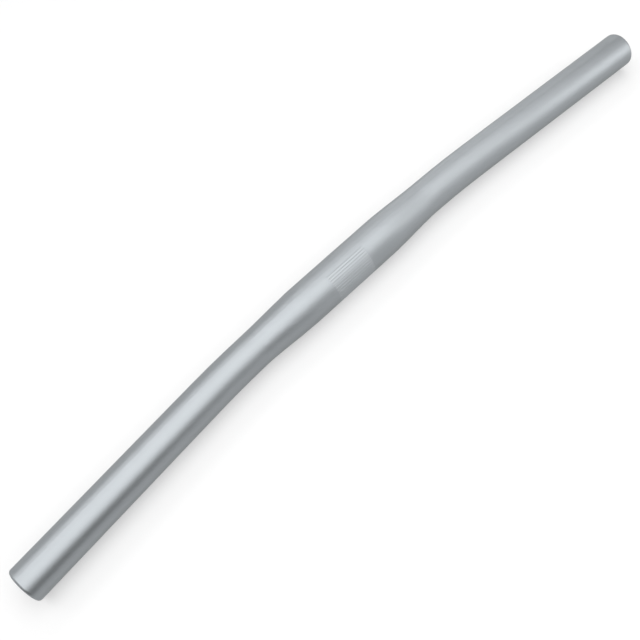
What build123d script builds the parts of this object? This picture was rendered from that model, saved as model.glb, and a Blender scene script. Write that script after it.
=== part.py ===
from build123d import *
import math
import os

# Flat bicycle handlebar: one aluminium tube, swaged from a thick middle down to two grip ends and
# bent back a little on each side. Its middle has rolled lines, on the rider's side, that keep the
# stem from slipping.
#
# Frame: the origin is on the tube's axis at the middle of the clamp zone. +X runs along the bar to
# its right end, both ends sweep back to -Y, and the bar lies flat in the XY plane with +Z up.

# Overall width across the ends, the two standard diameters and the wall, in millimetres
bar_width = 480.0
clamp_diameter = 25.4
grip_diameter = 22.2
wall = 2.2

# Stretches along the tube, measured from its middle, and the bend in degrees
clamp_length = 60.0
taper_length = 42.0
bend_start = 58.0
bend_radius = 590.0
sweep_angle = 5.0

# Tube ends. The rounding takes no more than its share of the wall.
end_rounding = 1.5
end_rounding_share = 0.7
bore_chamfer = 0.4

# Rolled lines on the clamp zone, in one patch that faces the rider
knurl_length = 28.0
knurl_facing_angle = 180.0
knurl_step_angle = 7.5
knurl_patch_angle = 150.0
knurl_depth = 0.16
knurl_groove_width = 0.6

# Distance between the sections that shape the taper
section_spacing = 8.0

clamp_radius = clamp_diameter / 2
grip_radius = grip_diameter / 2
taper_start = clamp_length / 2

# The arm is the straight stretch beyond the bend. Its length makes up the bar's width.
bend_angle = math.radians(sweep_angle)
arm_start_x = bend_start + bend_radius * math.sin(bend_angle)
arm_length = (bar_width / 2 - arm_start_x) / math.cos(bend_angle)

# Centre line of the right half
with BuildLine() as centre_line:
    straight = Line((0, 0), (bend_start, 0))
    bend = JernArc(straight @ 1, straight % 1, bend_radius, -sweep_angle)
    arm = Line(bend @ 1, (bend @ 1) + (bend % 1) * arm_length)
route = centre_line.wires()[0]


def square_plane(station):
    """Plane square to the tube at a distance along its centre line."""
    along = route.tangent_at(station, position_mode=PositionMode.LENGTH)
    middle = route.position_at(station, position_mode=PositionMode.LENGTH)
    return Plane(middle, x_dir=(0, 0, 1), z_dir=along)


def swaged_radius(station):
    """Outer radius, easing from the clamp's to the grip's with no corner at either end."""
    share = min(max((station - taper_start) / taper_length, 0), 1)
    eased = share * share * (3 - 2 * share)
    return clamp_radius + (grip_radius - clamp_radius) * eased


# The taper runs on into the bend, so it is lofted through circles square to the centre line.
taper_end = taper_start + taper_length
section_count = math.ceil(taper_length / section_spacing)
stations = [taper_start + taper_length * i / section_count for i in range(section_count + 1)]
beyond_taper = route.trim(taper_end / route.length, 1)

with BuildPart() as tube:
    # Right half: a solid rod first, then the bore, which keeps the wall even along the taper
    for inset, operation in ((0, Mode.ADD), (wall, Mode.SUBTRACT)):
        with BuildSketch(square_plane(0)):
            Circle(clamp_radius - inset)
        extrude(amount=taper_start, mode=operation)
        for station in stations:
            with BuildSketch(square_plane(station)):
                Circle(swaged_radius(station) - inset)
        loft(mode=operation)
        with BuildSketch(square_plane(taper_end)):
            Circle(grip_radius - inset)
        sweep(path=beyond_taper, mode=operation)

    # The sawn end: its outer edge is rounded over and the mouth of the bore is broken
    outer_edge = tube.faces().sort_by(Axis.X)[-1].edges().sort_by(SortBy.LENGTH)[-1]
    fillet(outer_edge, radius=min(end_rounding, end_rounding_share * wall))
    bore_mouth = tube.faces().sort_by(Axis.X)[-1].edges().sort_by(SortBy.LENGTH)[0]
    chamfer(bore_mouth, length=bore_chamfer)
    mirror(about=Plane.YZ)

    # Each line is a shallow V groove along the tube, as wide at the surface as its named width
    line_count = int(knurl_patch_angle / knurl_step_angle) + 1
    lines_span = (line_count - 1) * knurl_step_angle
    first_line = knurl_facing_angle - lines_span / 2
    groove = [(-knurl_depth, 0), (knurl_depth, -knurl_groove_width), (knurl_depth, knurl_groove_width)]
    with BuildSketch(Plane.YZ.offset(-knurl_length / 2)):
        with PolarLocations(clamp_radius, line_count, first_line, lines_span, endpoint=True):
            Polygon(*groove, align=None)
    extrude(amount=knurl_length, mode=Mode.SUBTRACT)

tube.part.label = "handlebar"

os.makedirs("parts", exist_ok=True)
export_step(tube.part, "parts/handlebar.step")
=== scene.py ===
"""Flat bicycle handlebar in satin silver aluminium, lying on a white table under soft light."""
import math

import bpy
from mathutils import Matrix, Vector


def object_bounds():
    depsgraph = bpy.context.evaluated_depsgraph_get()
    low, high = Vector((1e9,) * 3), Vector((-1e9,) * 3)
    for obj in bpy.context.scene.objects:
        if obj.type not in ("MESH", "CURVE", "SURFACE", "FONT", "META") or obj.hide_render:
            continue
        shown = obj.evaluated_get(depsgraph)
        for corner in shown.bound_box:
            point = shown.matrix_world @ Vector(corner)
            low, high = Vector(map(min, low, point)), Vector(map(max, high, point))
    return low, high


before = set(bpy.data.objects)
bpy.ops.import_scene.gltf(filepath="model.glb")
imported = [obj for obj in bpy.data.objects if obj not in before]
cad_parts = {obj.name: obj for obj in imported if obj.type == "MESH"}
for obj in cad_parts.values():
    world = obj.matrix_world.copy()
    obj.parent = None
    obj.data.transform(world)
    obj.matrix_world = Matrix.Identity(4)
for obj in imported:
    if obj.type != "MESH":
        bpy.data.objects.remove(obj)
cad_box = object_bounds()

scene = bpy.context.scene
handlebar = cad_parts["handlebar"]
table_height = cad_box[0].z

MM = 0.001
# Black, into which the painted shade of the rolled lines is mixed
BLACK = "#000000"

# The camera looks down on the bar from the rider's side, turned so that the bar runs corner to corner
CAMERA_AZIMUTH = -27.392
CAMERA_ELEVATION = 58.281
CAMERA_ROLL = -18.352
CAMERA_LOOKS_AT = Vector((-32.22, -14.08, 0.0)) * MM
CAMERA_DISTANCE = 445.4 * MM
CAMERA_NEAR = 4.454 * MM
CAMERA_LENS = 43.92
SENSOR_WIDTH = 36.0

# Blasted and anodised skin. The grit of bead blasting is about 0.1 mm, and it is drawn coarser so that it
# shows. The clouds are the slight unevenness of the anodising. The edge tint holds back the reflections at
# the rim, which a rough skin scatters.
SILVER = "#999DA0"
SILVER_SHADE = "#95999C"
# Lighter silver painted over the patch of rolled lines: a painted sheen
PAINTED_SHEEN_SILVER = "#9DA1A4"
SATIN_ROUGHNESS = 0.46
EDGE_TINT = 0.75
GRIT_SIZE = 0.35 * MM
GRIT_DEPTH = 0.003 * MM
GRIT_DETAIL = 2.0
CLOUD_SIZE = 18.0 * MM
CLOUD_DETAIL = 3.0

# Rolled lines of the clamp zone, where the CAD part has them. The patch starts a little in front of the top.
CLAMP_RADIUS = 12.7 * MM
LINE_DEPTH = 0.16 * MM
LINES_LENGTH = 28.0 * MM
LINES_FRONT = 3.0 * MM
PATCH_DEPTH = 2 * LINE_DEPTH

# Painted shade in the lines: how much, and the shares of their depth at which it begins and is full
PAINTED_LINE_SHADE = 0.08
SHADE_BEGINS = 0.3
SHADE_FULL = 0.9

# Sockets of Blender's Mix node when it mixes colours
MIX_FIRST = 6
MIX_SECOND = 7
MIX_RESULT = 2

# Table top, backdrop and room, sizes in metres. The glow is the share of the white that takes no shadow. It
# holds near the bar, out to the shadow's reach, and then rises to all of the white.
LAMINATE_WHITE = "#D9D9D9"
TABLE_SIZE = 12.0
TABLE_GLOW = 0.4
SHADOW_REACH = 0.35
GLOW_REACH = 0.9
BACKDROP_RADIUS = 5.0
BACKDROP_HEIGHT = 2.4
BACKDROP_SIDES = 144
ROOM_GREY = 0.02

# Flag of black felt on the rider's side of the bar: width, height, azimuth and distance from the bar, in
# metres and degrees
FELT_BLACK = "#101010"
FLAG = (0.8, 0.2, -40.0, 0.42)

# Each lamp: width, length, azimuth, elevation and distance from the bar, in metres and degrees, and its
# brightness, where 1 is white
LAMPS = {
    "overhead_softbox": (2.35, 2.45, -16.0, 77.5, 1.4, 2.57),
    "front_strip": (0.3, 0.54, 52.0, 19.0, 0.8, 2.3),
    "back_strip": (3.2, 0.4, 184.0, 47.0, 1.4, 2.7),
    "back_fill": (0.5, 0.4, 150.0, 9.0, 1.4, 1.5),
}


def linear(hex_colour):
    """Linear red, green and blue of an sRGB hex colour."""
    channels = [int(hex_colour[i : i + 2], 16) / 255 for i in (1, 3, 5)]
    return [c / 12.92 if c <= 0.04045 else ((c + 0.055) / 1.055) ** 2.4 for c in channels]


def rgba(hex_colour):
    """The same with full alpha."""
    return (*linear(hex_colour), 1.0)


def add_node(tree, kind, links=(), values=(), **settings):
    """Adds a node with its settings. links and values pair an input socket with its source or its value."""
    node = tree.nodes.new(kind)
    for name, value in settings.items():
        setattr(node, name, value)
    for socket, value in dict(values).items():
        node.inputs[socket].default_value = value
    for socket, source in dict(links).items():
        tree.links.new(node.inputs[socket], source)
    return node


def new_material(name):
    """An empty node material."""
    material = bpy.data.materials.new(name)
    material.use_nodes = True
    material.node_tree.nodes.clear()
    return material


def rolled_lines(tree, place):
    """Where the patch of rolled lines is, and how much painted shade each place in it has."""
    axis = add_node(tree, "ShaderNodeSeparateXYZ", {"Vector": place}).outputs
    section = add_node(tree, "ShaderNodeCombineXYZ", {"Y": axis["Y"], "Z": axis["Z"]}).outputs[0]
    radius = add_node(tree, "ShaderNodeVectorMath", {0: section}, operation="LENGTH").outputs["Value"]
    along = add_node(tree, "ShaderNodeMath", {0: axis["X"]}, operation="ABSOLUTE").outputs[0]
    # The last limit leaves out the bore
    limits = (
        (along, "LESS_THAN", LINES_LENGTH / 2),
        (axis["Y"], "LESS_THAN", -LINES_FRONT),
        (radius, "GREATER_THAN", CLAMP_RADIUS - PATCH_DEPTH),
    )
    patch, *others = [
        add_node(tree, "ShaderNodeMath", {0: value}, {1: limit}, operation=test).outputs[0]
        for value, test, limit in limits
    ]
    for inside in others:
        patch = add_node(tree, "ShaderNodeMath", {0: patch, 1: inside}, operation="MULTIPLY").outputs[0]
    # Painted shade, growing with the depth of a place in a line
    painted_groove_shade = add_node(
        tree,
        "ShaderNodeMapRange",
        {"Value": radius},
        {
            "From Min": CLAMP_RADIUS - SHADE_BEGINS * LINE_DEPTH,
            "From Max": CLAMP_RADIUS - SHADE_FULL * LINE_DEPTH,
            "To Min": 0.0,
            "To Max": PAINTED_LINE_SHADE,
        },
    ).outputs["Result"]
    shade = add_node(tree, "ShaderNodeMath", {0: painted_groove_shade, 1: patch}, operation="MULTIPLY").outputs[0]
    return patch, shade


def blasted_anodised_aluminium():
    """Bead blasted, clear anodised aluminium: a soft even sheen, no mirror in it, and a very fine grain."""
    material = new_material("blasted_anodised_aluminium")
    tree = material.node_tree
    place = add_node(tree, "ShaderNodeTexCoord").outputs["Object"]
    grit, clouds = [
        add_node(tree, "ShaderNodeTexNoise", {"Vector": place}, {"Scale": 1 / size, "Detail": detail})
        for size, detail in ((GRIT_SIZE, GRIT_DETAIL), (CLOUD_SIZE, CLOUD_DETAIL))
    ]
    colour = add_node(
        tree,
        "ShaderNodeMix",
        {"Factor": clouds.outputs["Fac"]},
        {MIX_FIRST: rgba(SILVER), MIX_SECOND: rgba(SILVER_SHADE)},
        data_type="RGBA",
    )
    # The patch is painted a lighter silver as a painted sheen, and the bottoms of its lines get painted
    # shade, so that the eye finds the patch in soft light too
    patch, shade = rolled_lines(tree, place)
    for share, tone in ((patch, PAINTED_SHEEN_SILVER), (shade, BLACK)):
        colour = add_node(
            tree,
            "ShaderNodeMix",
            {"Factor": share, MIX_FIRST: colour.outputs[MIX_RESULT]},
            {MIX_SECOND: rgba(tone)},
            data_type="RGBA",
        )
    bump = add_node(
        tree,
        "ShaderNodeBump",
        {"Height": grit.outputs["Fac"]},
        {"Strength": 1.0, "Distance": GRIT_DEPTH},
    )
    metal = add_node(
        tree,
        "ShaderNodeBsdfPrincipled",
        {"Base Color": colour.outputs[MIX_RESULT], "Normal": bump.outputs["Normal"]},
        {
            "Metallic": 1.0,
            "Roughness": SATIN_ROUGHNESS,
            "Specular Tint": (EDGE_TINT, EDGE_TINT, EDGE_TINT, 1.0),
        },
    )
    add_node(tree, "ShaderNodeOutputMaterial", {"Surface": metal.outputs["BSDF"]})
    return material


def matte_white_laminate():
    """Matte white laminate: it photographs as plain white and still takes the bar's shadow."""
    material = new_material("matte_white_laminate")
    tree = material.node_tree
    place = add_node(tree, "ShaderNodeTexCoord").outputs["Object"]
    reach = add_node(tree, "ShaderNodeVectorMath", {0: place}, operation="LENGTH").outputs["Value"]
    share = add_node(
        tree,
        "ShaderNodeMapRange",
        {"Value": reach},
        {"From Min": SHADOW_REACH, "From Max": GLOW_REACH, "To Min": TABLE_GLOW, "To Max": 1.0},
        interpolation_type="SMOOTHSTEP",
    ).outputs["Result"]
    # Only the camera, metal and glass see the glow, so it lights nothing matte
    rays = add_node(tree, "ShaderNodeLightPath").outputs
    seen = rays["Is Camera Ray"]
    for ray in ("Is Glossy Ray", "Is Transmission Ray"):
        seen = add_node(tree, "ShaderNodeMath", {0: seen, 1: rays[ray]}, operation="ADD").outputs[0]
    share = add_node(tree, "ShaderNodeMath", {0: seen, 1: share}, operation="MULTIPLY").outputs[0]
    matte = add_node(tree, "ShaderNodeBsdfDiffuse", values={"Color": rgba(LAMINATE_WHITE)}).outputs[0]
    glow = add_node(tree, "ShaderNodeEmission", values={"Strength": 1.0}).outputs[0]
    both = add_node(tree, "ShaderNodeMixShader", {0: share, 1: matte, 2: glow}).outputs[0]
    add_node(tree, "ShaderNodeOutputMaterial", {"Surface": both})
    return material


def black_felt():
    """Black felt: matte all over, so the metal has something dark to reflect, as an unlit studio gives it."""
    material = new_material("black_felt")
    tree = material.node_tree
    felt = add_node(tree, "ShaderNodeBsdfDiffuse", values={"Color": rgba(FELT_BLACK)}).outputs[0]
    add_node(tree, "ShaderNodeOutputMaterial", {"Surface": felt})
    return material


def direction(azimuth, elevation):
    """Unit vector from the bar towards a place seen at that azimuth and elevation."""
    a, e = math.radians(azimuth), math.radians(elevation)
    return Vector((math.sin(a) * math.cos(e), -math.cos(a) * math.cos(e), math.sin(e)))


def add_table(laminate):
    """The table top, just under the bar."""
    bpy.ops.mesh.primitive_plane_add(size=TABLE_SIZE, location=(0, 0, table_height))
    table = bpy.context.object
    table.name = "table_top"
    table.data.materials.append(laminate)


def add_backdrop(laminate):
    """A white backdrop all round the table."""
    bpy.ops.mesh.primitive_cylinder_add(
        vertices=BACKDROP_SIDES,
        radius=BACKDROP_RADIUS,
        depth=BACKDROP_HEIGHT,
        end_fill_type="NOTHING",
        location=(0, 0, table_height + BACKDROP_HEIGHT / 2),
    )
    backdrop = bpy.context.object
    backdrop.name = "backdrop"
    backdrop.data.materials.append(laminate)


def add_flag(felt, width, height, azimuth, distance):
    """The flag stands on the table. Only reflections show it, and it takes no light from the table."""
    bpy.ops.mesh.primitive_plane_add(size=1.0)
    flag = bpy.context.object
    flag.name = "black_flag"
    towards = direction(azimuth, 0)
    flag.scale = (width, height, 1)
    flag.rotation_euler = towards.to_track_quat("Z", "Y").to_euler()
    flag.location = towards * distance + Vector((0, 0, table_height + height / 2))
    flag.visible_camera = False
    flag.visible_diffuse = False
    flag.visible_shadow = False
    flag.data.materials.append(felt)


def add_lamp(name, width, length, azimuth, elevation, distance, brightness):
    """A rectangular softbox that faces the bar."""
    lamp = bpy.data.lights.new(name, "AREA")
    lamp.shape = "RECTANGLE"
    lamp.size, lamp.size_y = width, length
    lamp.energy = brightness * math.pi * width * length
    towards = direction(azimuth, elevation)
    holder = bpy.data.objects.new(name, lamp)
    holder.location = towards * distance
    holder.rotation_euler = towards.to_track_quat("Z", "Y").to_euler()
    holder.visible_camera = False
    scene.collection.objects.link(holder)


def add_camera():
    """The camera, placed by what it looks at, from where and how far."""
    lens = bpy.data.cameras.new("camera")
    lens.lens = CAMERA_LENS
    lens.sensor_width = SENSOR_WIDTH
    lens.clip_start = CAMERA_NEAR
    holder = bpy.data.objects.new("camera", lens)
    towards = direction(CAMERA_AZIMUTH, CAMERA_ELEVATION)
    aim = (-towards).to_track_quat("-Z", "Y").to_matrix()
    roll = Matrix.Rotation(math.radians(CAMERA_ROLL), 3, "Z")
    stand = Matrix.Translation(CAMERA_LOOKS_AT + towards * CAMERA_DISTANCE)
    holder.matrix_world = stand @ (aim @ roll).to_4x4()
    scene.collection.objects.link(holder)
    scene.camera = holder


def set_room():
    """The room beyond the lamps, nearly dark."""
    world = bpy.data.worlds.new("room")
    world.use_nodes = True
    background = world.node_tree.nodes["Background"]
    background.inputs["Color"].default_value = (1, 1, 1, 1)
    background.inputs["Strength"].default_value = ROOM_GREY
    scene.world = world


handlebar.data.materials.clear()
handlebar.data.materials.append(blasted_anodised_aluminium())

white_laminate = matte_white_laminate()
add_table(white_laminate)
add_backdrop(white_laminate)
add_flag(black_felt(), *FLAG)
for lamp_name, settings in LAMPS.items():
    add_lamp(lamp_name, *settings)
set_room()
add_camera()
scene.view_settings.view_transform = "Standard"
